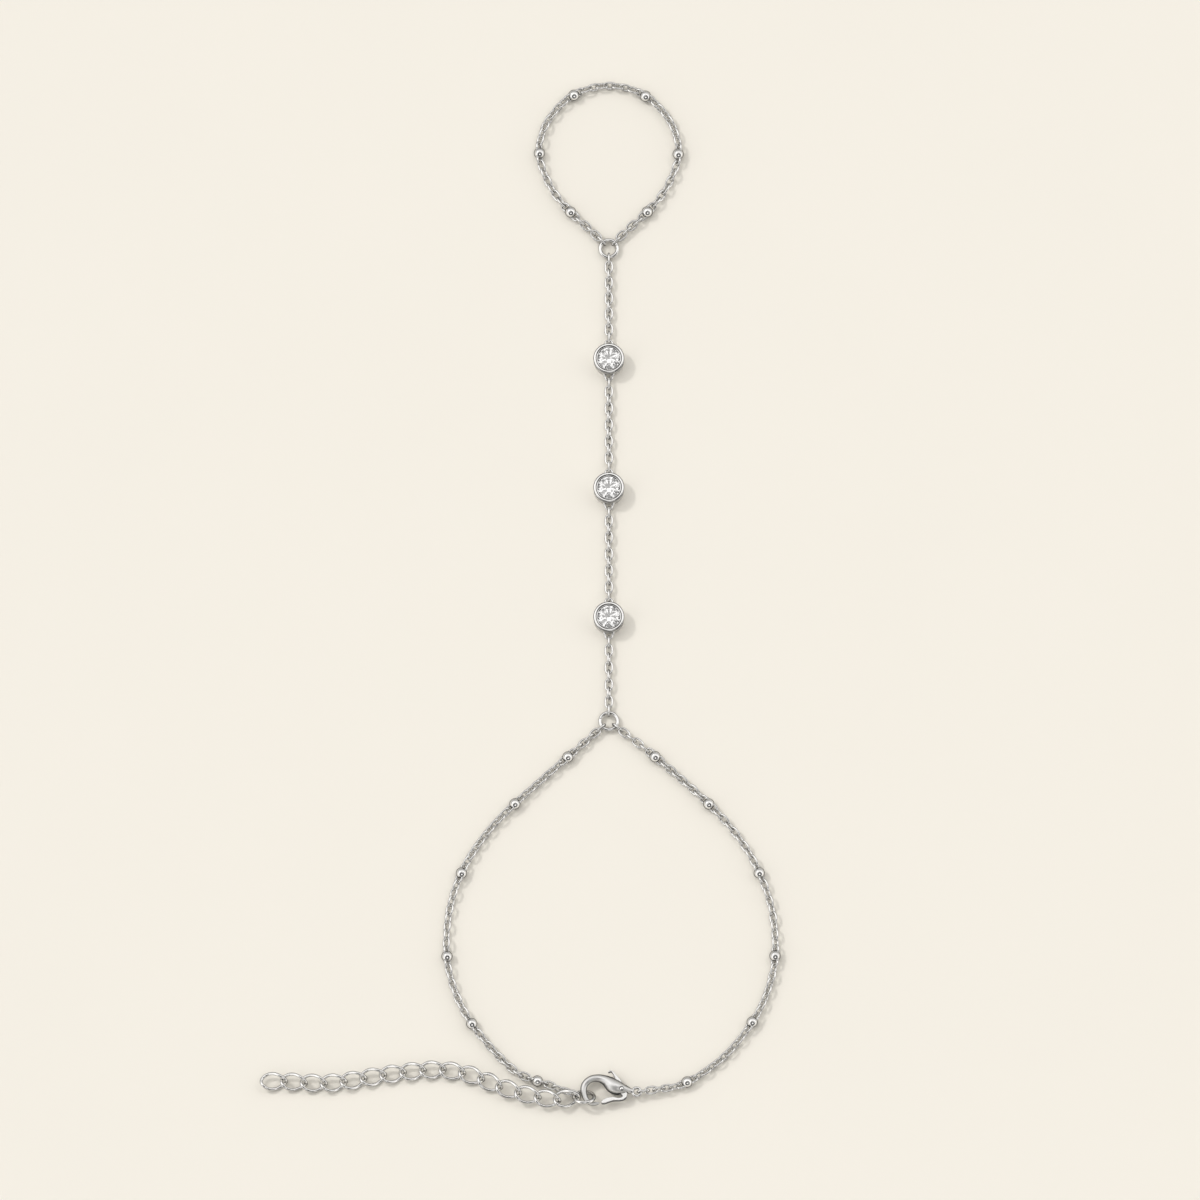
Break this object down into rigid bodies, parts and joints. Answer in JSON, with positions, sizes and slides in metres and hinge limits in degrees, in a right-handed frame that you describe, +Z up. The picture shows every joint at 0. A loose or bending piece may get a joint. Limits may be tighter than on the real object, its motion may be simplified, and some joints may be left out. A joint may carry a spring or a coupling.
{
  "type": "hand chain bracelet",
  "caption": "Hand chain bracelet of fine beaded cable chain: a finger loop and a wrist loop joined by a chain with round clear stones in cup settings, with a lobster clasp and curb extension.",
  "frame": {"origin": "middle of the back of the middle setting, on the surface that the bracelet lies on", "axes": "+Y along the hand chain to the finger loop, +Z up out of the stones, +X to the clasp's side"},
  "size_m": [0.0742, 0.1505, 0.0025],
  "materials": {
    "fine_chain": "polished",
    "bead": "polished",
    "ring": "polished",
    "setting": "polished",
    "clasp": "polished",
    "extension_chain": "polished",
    "stone": "polished facets"
  },
  "bodies": {
    "bracelet": {"finger_chain": "fine_chain", "finger_bead_1": "bead", "finger_bead_2": "bead", "finger_bead_3": "bead", "finger_bead_4": "bead", "finger_bead_5": "bead", "finger_bead_6": "bead", "finger_ring": "ring", "hand_chain_1": "fine_chain", "hand_chain_2": "fine_chain", "hand_chain_3": "fine_chain", "hand_chain_4": "fine_chain", "bezel_1": "setting", "bezel_2": "setting", "bezel_3": "setting", "stone_1": "stone", "stone_2": "stone", "stone_3": "stone", "wrist_ring": "ring", "wrist_chain_left": "fine_chain", "wrist_chain_right": "fine_chain", "wrist_bead_left_1": "bead", "wrist_bead_left_2": "bead", "wrist_bead_left_3": "bead", "wrist_bead_left_4": "bead", "wrist_bead_left_5": "bead", "wrist_bead_left_6": "bead", "wrist_bead_right_1": "bead", "wrist_bead_right_2": "bead", "wrist_bead_right_3": "bead", "wrist_bead_right_4": "bead", "wrist_bead_right_5": "bead", "wrist_bead_right_6": "bead", "end_ring": "ring", "extension_chain": "extension_chain", "clasp_body": "clasp", "clasp_rivet": "clasp"},
    "lever": {"clasp_lever": "clasp"}
  },
  "joints": [
    {"name": "lever_hinge", "type": "hinge", "parent": "bracelet", "child": "lever", "pos_m": [0.00182, -0.08798, 0.0012], "axis": [0, 0, 1], "range_deg": [-25, 0], "stiffness_Nm_per_rad": 0.004}
  ]
}
